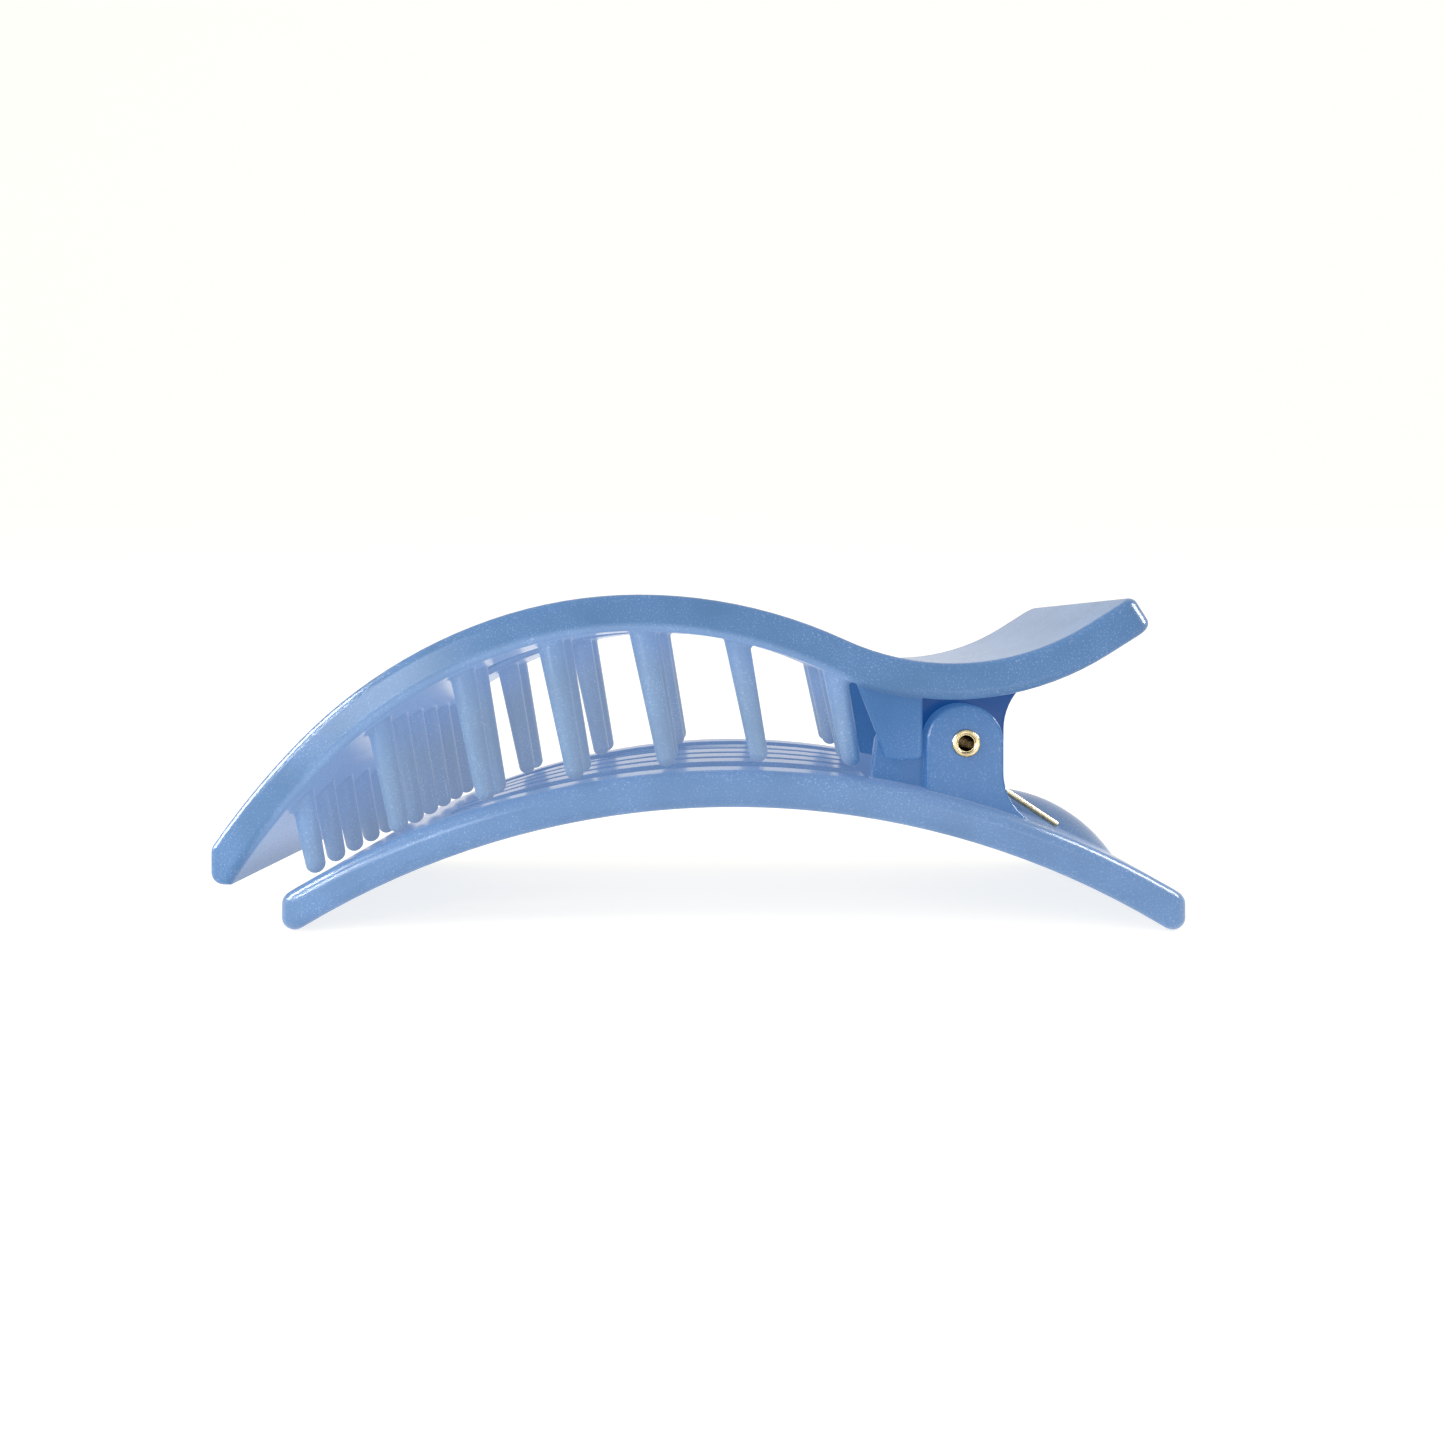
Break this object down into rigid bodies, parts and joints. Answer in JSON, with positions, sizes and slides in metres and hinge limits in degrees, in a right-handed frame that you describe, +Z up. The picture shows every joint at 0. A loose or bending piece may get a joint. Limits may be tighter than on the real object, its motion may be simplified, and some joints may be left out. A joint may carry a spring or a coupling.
{
  "type": "hair clip",
  "caption": "Flat-lay beak hair clip of blue moulded plastic: an arched jaw with tapered teeth and a thumb tab, hinged on a hollow rivet over an arched lower jaw with a slotted grid.",
  "frame": {"origin": "under the middle of the closed clip, on the surface that its two ends stand on", "axes": "+X from the nose to the finger handles, +Z up, Y along the hinge rivet"},
  "size_m": [0.1108, 0.04, 0.0384],
  "materials": {
    "jaw_plastic": "glossy pearl blue",
    "rivet_metal": "pale gold plating, polished",
    "spring_metal": "pale gold plated wire"
  },
  "bodies": {
    "lower": {"lower_jaw": "jaw_plastic", "hinge_rivet": "rivet_metal", "spring_coil_left": "spring_metal", "spring_coil_right": "spring_metal"},
    "upper": {"upper_jaw": "jaw_plastic", "spring_yoke": "spring_metal"}
  },
  "joints": [
    {"name": "jaw_hinge", "type": "hinge", "parent": "lower", "child": "upper", "pos_m": [0.03027, 0, 0.02141], "axis": [0, 1, 0], "range_deg": [0, 45], "stiffness_Nm_per_rad": 0.08, "springref_deg": -45.84}
  ]
}
